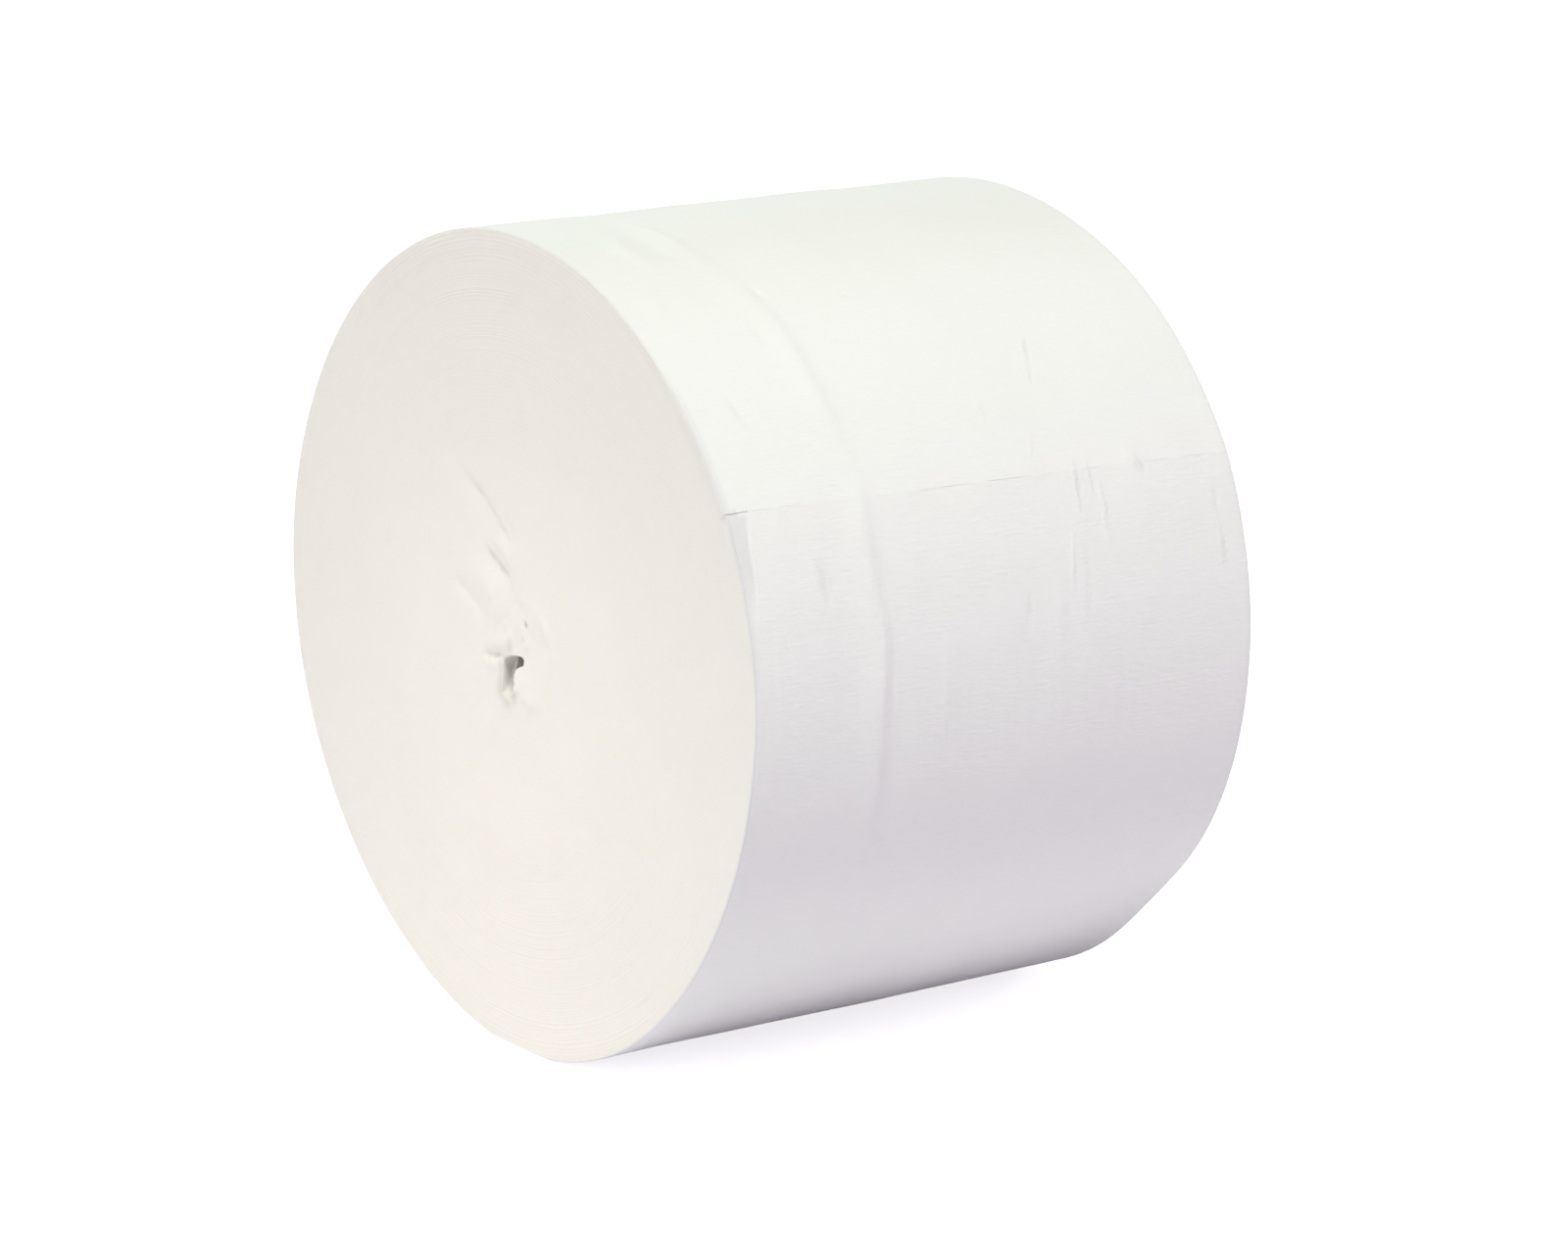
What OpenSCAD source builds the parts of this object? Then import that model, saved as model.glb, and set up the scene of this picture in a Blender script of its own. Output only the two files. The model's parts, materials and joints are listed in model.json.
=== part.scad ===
// Coreless toilet paper roll: one web of soft tissue, wound without a tube and lying on its side.
// The roll's axis runs along Y and its near end faces -Y. The origin is the middle of the small
// flat that the roll rests on. The roll is drawn with its near end up, and is then laid down.

/* [Roll] */
// Diameter under the last sheet
roll_d = 132; // [120:1:150]
// Width of the paper, from end to end
roll_w = 96; // [85:1:120]
// Rounding of the near rim
near_rim_r = 1.2; // [0.6:0.1:2.5]
// Rounding of the far rim, a little softer than the near one
far_rim_r = 1.5; // [1:0.1:5]
// Width of the flat that the roll's weight presses at the bottom
flat_w = 18; // [14:1:24]

/* [Tail] */
// Height of the step where the last sheet ends
tail_step = 0.5; // [0.3:0.05:1]
// Place of the tail edge round the roll, from +X towards +Z, in degrees
tail_angle = 26.6; // [10:0.1:60]
// Width at the rim that the skewed sheet under the tail leaves bare
notch_w = 3.8; // [2:0.1:8]
// Arc over which the bare strip runs out, in degrees
notch_arc = 20; // [10:1:40]

/* [Ridge round the side] */
// Distance of the ridge's steep edge from the near end
ridge_at = 25; // [15:1:40]
// Width of the ridge's gentle side
ridge_w = 3.4; // [2:0.1:6]
// Height of the ridge
ridge_h = 0.5; // [0.2:0.1:1]
// How far the ridge leans towards the near end over the top
ridge_lean = 5; // [0:0.5:8]

/* [Centre hole] */
// Diameter of the round channel for a holder's pin
pin_hole_d = 4.8; // [4:0.1:8]
// How far the channel has sagged below the roll's own centre
pin_hole_drop = 6.2; // [5:0.1:8]
// Width of the slit above the channel
slit_w = 2.8; // [1.5:0.1:3]
// Drop of the collapsed hole's upper edge below the roll's own centre
slit_top = 0.5; // [0:0.1:1]
// Reach of the slit's left wing from the middle
wing_left = 5.6; // [4:0.1:8]
// Reach of the slit's right wing from the middle
wing_right = 4.7; // [4:0.1:8]
// Height of the wings at the slit
wing_h = 2.4; // [1.5:0.1:3]

/* [Folds on the ends] */
// Height of the folds above the end
fold_h = 0.7; // [0.3:0.1:1.5]
// Width of a fold at its foot
fold_w = 2.6; // [1.5:0.1:4]
// Radius of the curled turn round the hole
curl_r = 12; // [11:0.5:14]
// Spacing of the spiral lines between the turns
turn_pitch = 5; // [4:0.5:10]
// Depth of the spiral lines
turn_depth = 0.2; // [0.1:0.05:0.4]
// Width of the spiral lines
turn_w = 0.8; // [0.5:0.1:1.2]

/* [Hidden] */

$fn = 96;
roll_r = roll_d / 2;
near_z = roll_w / 2;
far_z = -near_z;

// How deep an added fold is rooted, and how far a cut runs past the surface
root = 1;

// Smallest share of its full size that a fold keeps at its two ends
tip_share = 0.15;

// The folds on the near end, each a curve with four control points round the roll's centre
long_fold = [[-13.2, 26.5], [-8, 23.8], [-3, 20.8], [0.6, 16.7]];
short_fold = [[-5.6, 14.6], [-1, 12.8], [2.6, 9.2], [5.4, 4]];
side_fold = [[-15.8, 7.8], [-11, 5.4], [-6.6, 4.2], [-5.2, 0.6]];
low_fold = [[3.2, -5.4], [5, -7.4], [8, -9.4], [11.6, -9]];

// Where the spiral lines start, outside the folds, and how far short of the rim's rounding they end
turns_from = 32;
turns_rim_gap = 1.3;

// The stretch of the side, in degrees, that the ridge runs over, and where it starts to lean
ridge_from = -70;
ridge_to = 110;
lean_from = 55;
lean_arc = 30;

// Share of the last turn gone by at angle a, from 0 at the tail's edge to 1 just under it
function turn_share(a) = ((a - tail_angle) % 360 + 360) % 360 / 360;

function on_circle(r, a) = r * [cos(a), sin(a)];

// The last turn is a spiral of four quarters, numbered from 0 at the tail's edge. Each has a centre
// a quarter of the step further on, and a radius that much smaller, so that they join smoothly.
function quarter(a) = floor(4 * turn_share(a));
function quarter_r(k) = roll_r + tail_step * (1 - k / 4);
function quarter_centre(k) =
  k == 0 ? [0, 0] : quarter_centre(k - 1) + on_circle(tail_step / 4, tail_angle + 90 * k);

// Distance of the last turn from the roll's axis at angle a
function turn_r(a) =
  let (c = quarter_centre(quarter(a)), along = c * on_circle(1, a))
    along + sqrt(pow(quarter_r(quarter(a)), 2) - c * c + along * along);

// Height of the roll's axis over the flat, so that the flat comes out flat_w wide
low_quarter = quarter(270);
axis_h = sqrt(pow(quarter_r(low_quarter), 2) - pow(flat_w / 2, 2)) - quarter_centre(low_quarter).y;

function smooth(t) = let (u = min(max(t, 0), 1)) u * u * (3 - 2 * u);

function swell(t) = max(tip_share, sqrt(abs(sin(180 * t))));

function bezier(c, t) =
  pow(1 - t, 3) * c[0] + 3 * pow(1 - t, 2) * t * c[1] + 3 * (1 - t) * t * t * c[2] + t * t * t * c[3];

function curve(c, count = 14) = [for (i = [0 : count]) bezier(c, i / count)];

function arc(r, from, to, step = 5) = [for (a = [from : step : to]) on_circle(r, a)];

// Unit vector square to the path at its point i
function across(path, i) =
  let (d = path[min(i + 1, len(path) - 1)] - path[max(i - 1, 0)]) [-d.y, d.x] / norm(d);

// Closed solid through rings of points, each with as many points as the next
module loft(rings) {
  n = len(rings);
  m = len(rings[0]);
  polyhedron(
    points = [for (ring = rings) each ring],
    faces = concat(
      [[for (j = [0 : m - 1]) j]],
      [for (i = [0 : n - 2], j = [0 : m - 1])
        let (a = i * m + j, b = i * m + (j + 1) % m) each [[a, a + m, b + m], [a, b + m, b]]],
      [[for (j = [m - 1 : -1 : 0]) (n - 1) * m + j]]));
}

// Fold of paper that stands on a level end, along a path
module fold(path, width = fold_w, height = fold_h) {
  last = len(path) - 1;
  loft([for (i = [0 : last])
    let (p = path[i], size = swell(i / last), side = across(path, i) * width / 2 * size)
      [[each p - side, -root], [each p + side, -root], [each p, height * size]]]);
}

// V-shaped cut into a level end, along a path
module groove(path, width, depth) {
  last = len(path) - 1;
  half = width / 2 * (depth + root) / depth;
  loft([for (i = [0 : last])
    let (p = path[i], side = across(path, i) * half)
      [[each p + side, root], [each p - side, root], [each p, -depth]]]);
}

// What rounding takes off a square corner at the origin
module corner_trim(r) {
  difference() {
    translate([-root, -root]) square(r + root);
    translate([r, r]) circle(r);
  }
}

// Half of the roll's section, with its rims rounded
module half_section(r) {
  difference() {
    translate([0, far_z]) square([r, roll_w]);
    translate([r, near_z]) rotate(180) corner_trim(near_rim_r);
    translate([r, far_z]) rotate(90) corner_trim(far_rim_r);
  }
}

// The wound web, with its last turn a spiral that ends in the tail
module wound_turns() {
  for (k = [0 : 3])
    translate(quarter_centre(k))
      rotate([0, 0, tail_angle + 90 * k])
        rotate_extrude(angle = 90) half_section(quarter_r(k));
  cylinder(h = roll_w, r = roll_r / 2, center = true);
}

// Crease that runs round the side, gentle towards the near end and steep towards the far end
module side_ridge() {
  loft([for (a = [ridge_from : 5 : ridge_to])
    let (
      size = swell((a - ridge_from) / (ridge_to - ridge_from)),
      z = near_z - ridge_at + ridge_lean * smooth((a - lean_from) / lean_arc),
      foot = on_circle(turn_r(a) - root, a)
    )
      [[each foot, z - ridge_w / 4 * size],
       [each foot, z + ridge_w * size],
       [each on_circle(turn_r(a) + ridge_h * size, a), z]]]);
}

// Bare strip at the near rim, just under the tail's edge
module rim_notch(count = 5) {
  top = near_z + root;
  loft([for (i = [0 : count])
    let (
      share = i / count,
      a = tail_angle - notch_arc * (1 - share),
      low = near_z - notch_w * max(tip_share, share),
      inner = on_circle(roll_r - tail_step, a),
      outer = on_circle(roll_r + root, a)
    )
      [[each outer, top], [each outer, low], [each inner, low], [each inner, top]]]);
}

// Outline of the slit that the inner turns leave above the round channel
module slit_outline() {
  polygon([
    [-slit_w / 2, -pin_hole_drop], [slit_w / 2, -pin_hole_drop],
    [slit_w / 2, -slit_top - wing_h], [wing_right, -slit_top - wing_h / 2],
    [wing_right / 2, -slit_top], [-wing_left / 2, -slit_top - wing_h / 4],
    [-wing_left, -slit_top - wing_h], [-slit_w / 2, -slit_top - wing_h]
  ]);
}

// The collapsed hole, from end to end
module centre_hole() {
  linear_extrude(height = roll_w + 2 * root, center = true) slit_outline();
  translate([0, -pin_hole_drop, 0]) cylinder(h = roll_w + 2 * root, d = pin_hole_d, center = true);
}

// Spiral line between the turns on the end with this rim
module turn_lines(rim_r) {
  turns_to = roll_r - rim_r - turns_rim_gap;
  groove(
    [for (a = [0 : 10 : 360 * (turns_to - turns_from) / turn_pitch])
      on_circle(turns_from + turn_pitch * a / 360, tail_angle - a)],
    turn_w, turn_depth);
}

// The curled turn beside the hole, which both ends have
module curl() {
  translate([0, -slit_top, 0]) fold(arc(curl_r, -40, 50));
}

module near_folds() {
  curl();
  for (control = [long_fold, short_fold, side_fold, low_fold]) fold(curve(control));
}

module upright_roll() {
  difference() {
    union() {
      wound_turns();
      side_ridge();
      translate([0, 0, near_z]) near_folds();
      translate([0, 0, far_z]) mirror([0, 0, 1]) curl();
    }
    centre_hole();
    rim_notch();
    translate([0, 0, near_z]) turn_lines(near_rim_r);
    translate([0, 0, far_z]) mirror([0, 0, 1]) turn_lines(far_rim_r);
  }
}

module paper_roll() {
  color([0.95, 0.94, 0.91])
    difference() {
      translate([0, 0, axis_h]) rotate([90, 0, 0]) upright_roll();
      translate([-roll_d, -roll_w, -roll_d]) cube([2 * roll_d, 2 * roll_w, roll_d]);
    }
}

paper_roll();
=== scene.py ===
"""The looks of a coreless toilet paper roll: its soft wound body, the folds round its collapsed
hole, its loose tail and its tissue, on a plain pale floor."""

import json
import math

import bmesh
import bpy
import numpy as np
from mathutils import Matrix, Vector


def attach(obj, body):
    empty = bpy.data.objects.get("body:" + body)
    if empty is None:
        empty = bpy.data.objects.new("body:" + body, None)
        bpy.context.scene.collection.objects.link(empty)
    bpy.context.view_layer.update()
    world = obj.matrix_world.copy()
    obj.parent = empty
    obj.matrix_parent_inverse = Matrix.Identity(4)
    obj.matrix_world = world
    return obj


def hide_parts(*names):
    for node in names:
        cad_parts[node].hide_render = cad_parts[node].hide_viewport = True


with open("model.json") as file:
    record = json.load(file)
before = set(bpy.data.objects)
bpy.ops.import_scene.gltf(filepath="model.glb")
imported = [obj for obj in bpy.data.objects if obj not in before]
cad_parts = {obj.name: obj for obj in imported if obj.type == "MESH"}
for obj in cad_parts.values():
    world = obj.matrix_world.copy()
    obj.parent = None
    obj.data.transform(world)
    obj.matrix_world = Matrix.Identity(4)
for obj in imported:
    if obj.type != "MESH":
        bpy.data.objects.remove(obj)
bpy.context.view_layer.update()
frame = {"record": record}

# All sizes of the roll are in millimetres until a mesh is made.
MM = 0.001
NODE = "paper_roll"

# The frame gives the paper's width and the channel for a holder's pin.
pin_hole = next(m for m in frame["record"]["mounts"] if m["name"] == "pin_hole")
ROLL_W = pin_hole["dims"]["length_mm"]
PIN_R = pin_hole["dims"]["r_mm"]
PIN_DROP = 6.2
AXIS_H = pin_hole["pos_m"][2] / MM + PIN_DROP
ROLL_R = 66.0

# Soft unevenness of the section at each end, as shares of the radius: the cosine and sine parts
# of its second, third and fourth waves round the roll.
NEAR_WAVES = ((0.0100, -0.0054), (-0.0023, 0.0070), (0.0031, 0.0035))
FAR_WAVES = ((0.0044, -0.0045), (0.0047, 0.0072), (-0.0007, 0.0007))
FIRST_WAVE = 2

# The loose tail: where its edge lies at each end, in degrees from +X towards +Z, and the height of
# its step at distances from the near end
TAIL_NEAR = 27.2
TAIL_FAR = 26.1
TAIL_ANGLE = (TAIL_NEAR + TAIL_FAR) / 2
TAIL_SHIFT_REACH = 9.0
TAIL_STEP = [(0, 0.05), (1.8, 0.05), (2.6, 0), (25, 0), (27, 0.05), (50, 0.045), (60, 0), (92, 0)]

# The loose tail stands off the roll: how much, over what arc, and how far its corner is skewed
# past the near end
TAIL_SLACK = 0.42
TAIL_SLACK_ARC = 15.0
TAIL_SKEW = 0.3
TAIL_SKEW_ARC = 50.0
TAIL_SKEW_REACH = 6.0
LIP_W = 1.8
TAIL_RAGGED = 0.10

# Rounding of the rims, and how much wider the far end is, as a share of the radius
NEAR_RIM_R = 0.28
FAR_RIM_R = 1.2
FAR_SWELL = 0.009

# Columns round the roll, halved in the middle of the ends and in the hole
COLUMNS = 400

# Where the rays of the ends' grid start, inside the hole, and how far from the hole's lip the rings
# of the ends lie closest together
GRID_CENTRE = np.array([0.0, -2.4])
FINE_REACH = 14.5

# Rounding of the hole's lip
HOLE_LIP_R = 0.5

# The parts of the surface that have the side's material
SIDE_PARTS = ("side", "rim", "near_rim")

# The mouth of the hole on the near end, the throat that the collapsed turns leave behind it, and
# the plain slit deep inside
MOUTH = [
    (-0.5, -3.2), (-0.5, -4.9), (-0.7, -6.0), (-0.9, -7.0), (-0.8, -7.7), (-0.1, -8.3), (1.2, -8.3),
    (2.3, -7.8), (2.8, -6.9), (2.7, -5.6), (2.6, -4.2), (2.8, -3.4), (3.8, -2.9), (5.0, -2.45),
    (5.1, -1.5), (4.3, -1.1), (2.4, -1.3), (0.6, -1.7), (-0.3, -2.2),
]
THROAT = [
    (0.3, -2.9), (0.6, -4.6), (0.8, -5.6), (1.3, -6.0), (1.9, -5.6), (2.0, -3.9), (2.6, -3.1),
    (4.2, -2.4), (3.4, -1.8), (1.4, -1.8), (0.5, -1.9),
]
THROAT_DEPTH = 2.6
THROAT_END = 9.0
SLIT_W = 2.8
SLIT_TOP = -1.0
SLIT_FOOT = -3.1
WING_LEFT = 2.6
WING_RIGHT = 4.7


def smooth(t):
    u = np.clip(t, 0.0, 1.0)
    return u * u * (3 - 2 * u)


def bump(distance, width):
    return np.exp(-((distance / width) ** 2))


def field(a, b, seed, cells_a=64, cells_b=64):
    """Smooth random values from -1 to 1 on a lattice with a cell of 1, which repeats."""
    lattice = np.random.default_rng(seed).uniform(-1, 1, (cells_a, cells_b))
    i, j = np.floor(a).astype(int), np.floor(b).astype(int)
    s, t = smooth(a - i), smooth(b - j)

    def corner(di, dj):
        return lattice[(i + di) % cells_a, (j + dj) % cells_b]

    low = corner(0, 0) * (1 - s) + corner(1, 0) * s
    high = corner(0, 1) * (1 - s) + corner(1, 1) * s
    return low * (1 - t) + high * t


def curve(points, count=48):
    """Points along a smooth curve through the given ones."""
    p = np.array(points, float)
    p = np.vstack([2 * p[0] - p[1], p, 2 * p[-1] - p[-2]])
    made = []
    for k in range(len(p) - 3):
        a, b, c, d = p[k : k + 4]
        for t in np.arange(0, 1, (len(p) - 3) / count):
            squared = (2 * a - 5 * b + 4 * c - d) * t**2
            cubed = (3 * b - a - 3 * c + d) * t**3
            made.append(0.5 * (2 * b + (c - a) * t + squared + cubed))
    made.append(p[-2])
    return np.array(made)


# How a fold sways and swells along its curve, the share of its length over which each end fades,
# and how wide the line is that marks it
FOLD_SWAY = 0.35
FOLD_LUMPS = 0.4
FOLD_ENDS = 0.3
FOLD_LINE_W = 0.55


def fold(u, v, points, height, left, right):
    """Height of a fold along a curve: its flanks are left and right wide, seen along the curve."""
    return fold_parts(u, v, points, height, left, right)[0]


def fold_parts(u, v, points, height, left, right):
    """The height of a fold, and its closeness to the fold's own line, from 0 to 1."""
    path = curve(points)
    along = np.linspace(0, 7, len(path))
    seed = len(points) + int(abs(points[0][0] * 10))
    step = np.gradient(path, axis=0)
    across = np.stack([-step[:, 1], step[:, 0]], 1) / np.linalg.norm(step, axis=1)[:, None]
    path = path + across * FOLD_SWAY * field(along, along * 0, seed)[:, None]
    lumps = 1 + FOLD_LUMPS * field(along * 1.6, along * 0 + 9, seed)
    flat = np.stack([u.ravel(), v.ravel()], 1)
    height_here, close_here = np.zeros(len(flat)), np.zeros(len(flat))
    reach = 3 * max(left, right)
    near = np.all((flat > path.min(0) - reach) & (flat < path.max(0) + reach), 1)
    spots = flat[near]
    if len(spots):
        gaps = np.linalg.norm(spots[:, None] - path[None], axis=2)
        k = gaps.argmin(1)
        ahead = path[np.minimum(k + 1, len(path) - 1)] - path[np.maximum(k - 1, 0)]
        offset = spots - path[k]
        side = ahead[:, 0] * offset[:, 1] - ahead[:, 1] * offset[:, 0]
        share = k / (len(path) - 1)
        swell = smooth(share / FOLD_ENDS) * smooth((1 - share) / FOLD_ENDS) * lumps[k]
        height_here[near] = height * swell * bump(gaps.min(1), np.where(side > 0, left, right))
        close_here[near] = np.minimum(1, swell) * bump(gaps.min(1), FOLD_LINE_W)
    return height_here.reshape(u.shape), close_here.reshape(u.shape)


# Folds on the near end: the curve's points, height, and the widths of the left and right flanks
NEAR_FOLDS = [
    ([(-15.0, 28.0), (-9.8, 24.2), (-4.7, 21.1), (-0.8, 18.0), (1.4, 15.4)], -0.24, 0.60, 1.9),
    ([(-0.6, 20.4), (1.6, 18.2), (3.0, 15.6)], -0.12, 0.7, 1.2),
    ([(-3.6, 16.8), (-0.6, 14.8), (2.4, 11.8)], 0.20, 1.6, 0.8),
    ([(-6.8, 15.0), (-3.6, 13.2), (-0.9, 11.9), (1.9, 9.8)], -0.42, 0.60, 2.2),
    ([(0.4, 11.0), (3.4, 7.6), (5.0, 4.8)], -0.14, 0.8, 1.6),
    ([(-17.0, 9.0), (-12.6, 6.9), (-9.4, 5.2), (-5.4, 2.4)], -0.24, 1.0, 1.4),
    ([(-16.0, 6.8), (-11.6, 4.8), (-7.8, 2.8)], 0.16, 0.9, 1.6),
    ([(-12.0, 12.0), (-7.0, 9.2), (-2.6, 6.2), (0.8, 2.4)], 0.26, 2.4, 2.2),
    ([(2.5, -3.5), (2.2, -4.8), (2.6, -6.3), (3.7, -7.6)], 0.34, 0.8, 0.45),
    ([(-6.8, -2.9), (-4.6, -2.4), (-2.4, -2.0), (0.0, -1.5)], -0.38, 0.8, 0.6),
    ([(-6.4, -4.1), (-4.8, -3.8), (-3.2, -3.5), (-1.8, -3.6)], 0.22, 0.7, 0.8),
    ([(2.4, -5.8), (4.6, -7.0), (7.5, -8.0), (12.3, -8.4)], 0.26, 2.0, 1.0),
    ([(4.6, 8.6), (8.4, 7.2), (11.6, 4.1), (12.8, 0.4), (12.2, -4.0), (9.8, -7.6)], 0.18, 0.9, 1.8),
    ([(5.3, 3.4), (6.2, 1.6), (6.0, -0.2)], 0.12, 0.9, 0.6),
    ([(6.0, -37.0), (10.0, -40.5), (14.5, -42.5), (18.0, -43.5)], 0.16, 0.8, 1.4),
    ([(9.0, 12.0), (14.0, 8.5), (17.0, 3.0), (17.2, -3.0), (14.5, -9.5)], 0.09, 0.9, 1.8),
]

# How dark the painted shade along the folds' own lines is, by their order
NEAR_LINE_SHADES = (0.06, 0.03, 0, 0.14, 0.03, 0, 0, 0, 0, 0.22, 0, 0, 0.03, 0, 0, 0)

# Soft shade round the hole: the middle of each patch, how wide it is and how dark
NEAR_SHADES = (
    ((-0.9, -3.4), 0.8, 0.34), ((-0.9, -4.6), 0.8, 0.34), ((-1.1, -6.0), 0.9, 0.38),
    ((-1.4, -7.4), 1.2, 0.40), ((0.3, -8.7), 1.4, 0.40), ((2.6, -8.2), 0.9, 0.28),
    ((-2.0, -1.6), 1.6, 0.12), ((0.0, -0.8), 1.2, 0.16), ((1.5, -0.5), 0.8, 0.36),
    ((1.4, 0.6), 0.7, 0.24),
)

# A small pit beside the hole: its middle, width, depth and shade
NEAR_DOT = (5.75, 4.25)
NEAR_DOT_W = 0.55
NEAR_DOT_DEPTH = 0.5
NEAR_DOT_SHADE = 0.6

# How dark the painted shade on the walls of the hole's near half is, in general and at its foot, over
# what depth it grows, and how far outside the near end that depth starts
HOLE_SHADE = 1.0
HOLE_FOOT_SHADE = 0.72
HOLE_SHADE_DEPTH = 1.5
HOLE_LIP_AT = 0.6

# Where the painted shade at the hole's foot turns to its general level, and where its right side and
# its top turn paler: the height or the place across, over what distance, and for the last two by what
# share
HOLE_FOOT = (-7.8, 1.6)
HOLE_RIGHT = (2.2, 1.2, 0.6)
HOLE_TOP = (-3.6, 1.0, 0.55)

# How far each end bulges round the hole
NEAR_BULGE = 0.6
FAR_BULGE = 0.5

# Folds on the far end, which the photograph doesn't show: only what every such roll has there
FAR_FOLDS = [
    ([(5.0, 8.0), (8.6, 6.8), (11.3, 4.1), (12.5, 0.4), (11.9, -4.0), (9.6, -7.2)], 0.40, 0.5, 1.3),
    ([(-11.0, 9.0), (-7.0, 7.0), (-3.0, 4.4), (0.6, 1.0)], 0.40, 0.5, 1.8),
    ([(2.8, -5.2), (5.0, -7.2), (8.0, -9.0), (12.6, -8.9)], 0.40, 1.4, 0.5),
    ([(-3.4, -5.0), (-5.4, -3.0), (-6.4, 0.2), (-5.0, 3.4)], 0.40, 0.5, 1.2),
]

# Broad folds on the side, in degrees round the roll and millimetres from the near end
SIDE_FOLDS = [
    ([(88, 20.4), (82.8, 21.2), (79.1, 22.1), (73, 22.4)], 0.34, 1.3, 1.4),
    ([(82, 12.4), (77.6, 12.2), (73.1, 12.0), (66, 11.4)], 0.36, 1.4, 1.4),
    ([(93, 16.8), (90.3, 16.0), (83.4, 13.5)], 0.30, 1.3, 1.3),
    ([(85, 17.4), (78, 17.2), (71, 17.0)], -0.26, 1.5, 1.5),
    ([(93, 11.4), (86, 9.6), (80, 8.0)], -0.20, 1.3, 1.3),
    ([(66, 7.4), (58, 6.4), (50, 5.8)], 0.16, 1.2, 1.4),
    ([(62.6, 25.9), (61.3, 26.1), (60, 26.2)], -0.30, 0.8, 0.8),
    ([(14, 57.4), (4, 56.6), (-12, 56.2)], 0.12, 0.9, 1.0),
    ([(24, 75.4), (12, 74.2), (2, 74.0)], 0.12, 0.9, 1.0),
    ([(20, 81.0), (6, 80.2), (-12, 80.4)], 0.12, 0.9, 1.1),
]

# Small marks in the side's tissue: both ends of each, in degrees round the roll and millimetres
# from the near end, half its width and its height in millimetres, and how dark the painted shade in it is
SIDE_MARKS = [
    ((47.5, 67.3), (42.5, 64.9), 0.80, -0.13, 0.08),
    ((43.0, 65.0), (38.5, 63.4), 0.70, -0.10, 0.05),
    ((37.8, 51.9), (34.6, 52.1), 0.70, -0.09, 0.05),
    ((34.0, 59.5), (28.0, 57.0), 0.55, 0.06, 0.0),
    ((28.5, 65.6), (20.0, 64.2), 0.65, -0.14, 0.10),
    ((28.0, 67.8), (22.0, 67.5), 0.55, -0.11, 0.08),
    ((25.5, 68.8), (16.5, 68.4), 0.70, 0.14, 0.0),
    ((19.8, 61.9), (9.0, 59.7), 0.55, 0.10, 0.0),
    ((20.0, 64.6), (0.5, 62.0), 0.95, -0.09, 0.03),
    ((12.6, 52.3), (6.6, 51.6), 0.85, -0.13, 0.06),
    ((28.4, 75.2), (25.2, 77.2), 1.05, 0.24, 0.0),
    ((27.2, 78.2), (24.4, 78.0), 0.60, -0.10, 0.05),
    ((20.2, 14.0), (13.4, 15.5), 1.45, -0.26, 0.05),
    ((45.0, 7.8), (36.0, 10.6), 1.05, -0.14, 0.03),
    ((23.0, 91.2), (17.0, 90.8), 0.80, -0.10, 0.05),
    ((17.5, 91.2), (9.0, 91.2), 0.80, -0.15, 0.08),
    ((56.0, 20.4), (50.0, 20.0), 0.90, -0.07, 0.02),
    ((8.0, 36.5), (-6.0, 36.0), 1.00, 0.10, 0.0),
]

# The crease round the side: its distance from the near end, its height and its flanks' widths
RIDGE_AT = 24.3
RIDGE_H = 0.42
RIDGE_NEAR_W = 2.7
RIDGE_FAR_W = 1.6

# How far the crease leans towards the near end over the top, and how far it shifts that way below
# the tail's edge, each with the angle where that starts and the arc over which it grows
RIDGE_LEAN = 3.6
RIDGE_LEAN_FROM = 52
RIDGE_LEAN_ARC = 34
RIDGE_SHIFT = 1.2
RIDGE_SHIFT_FROM = 30
RIDGE_SHIFT_ARC = 8

# How strong the crease is round the roll: degrees from +X towards +Z, and a share of its height
RIDGE_STRENGTH = [
    (-50, 0), (-30, 0.2), (-15, 0.6), (0, 1.2), (15, 1.3), (25, 1.15), (29, 0.5), (36, 0.4), (42, 0.85),
    (54, 0.9), (61, 0.6), (67, 0.3), (74, 0.5), (86, 0.5), (98, 0.15), (125, 0),
]

# The bare strip at the near rim under the tail's edge, the painted shadow in it and the arc over which
# that fades, and the fine seam along that edge
NOTCH_W = 3.6
NOTCH_TIP_W = 1.4
NOTCH_ARC = 15.0
NOTCH_DEPTH = 0.20
NOTCH_SHADE = 0.27
NOTCH_SHADE_ARC = 15.0
SEAM_DEPTH = 0.05

# Shade along the near rim: how dark and how wide it is on the side, how far it runs below and above
# the tail's edge in degrees, and how dark the rounding itself is
RIM_SHADE = 0.15
RIM_SHADE_W = 0.9
RIM_SHADE_BELOW = 26
RIM_SHADE_ABOVE = 22
NEAR_RIM_SHADE = 0.20

# Heights of the side's unevenness: wrinkles over the last turn, broad waves all round, waves at the
# back, and waves along the tail's edge
WRINKLE_H = 0.075
BROAD_WAVE_H = 0.16
BACK_WAVE_H = 0.10
EDGE_WAVE_H = 0.08

# The dent that flattens the lower far rim
DENT_ANGLE = -47.0
DENT_ARC = 13.0
DENT_REACH = 26.0
DENT_DEPTH = 1.5


def section(theta, share):
    """Radius of the soft section, at a share of the way from the near to the far end."""
    near, far = np.ones_like(theta), np.full_like(theta, 1 + FAR_SWELL)
    for k, ((nc, ns), (fc, fs)) in enumerate(zip(NEAR_WAVES, FAR_WAVES), FIRST_WAVE):
        near += nc * np.cos(k * theta) + ns * np.sin(k * theta)
        far += fc * np.cos(k * theta) + fs * np.sin(k * theta)
    return ROLL_R * (near * (1 - share) + far * share)


def notch_border(before):
    """Where the bare strip ends, from the near end, at an angle before the tail's edge."""
    plain = NOTCH_W - (NOTCH_W - NOTCH_TIP_W) * before / NOTCH_ARC
    return plain + 0.3 * field(before / 2.5, before * 0, 14)


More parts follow.
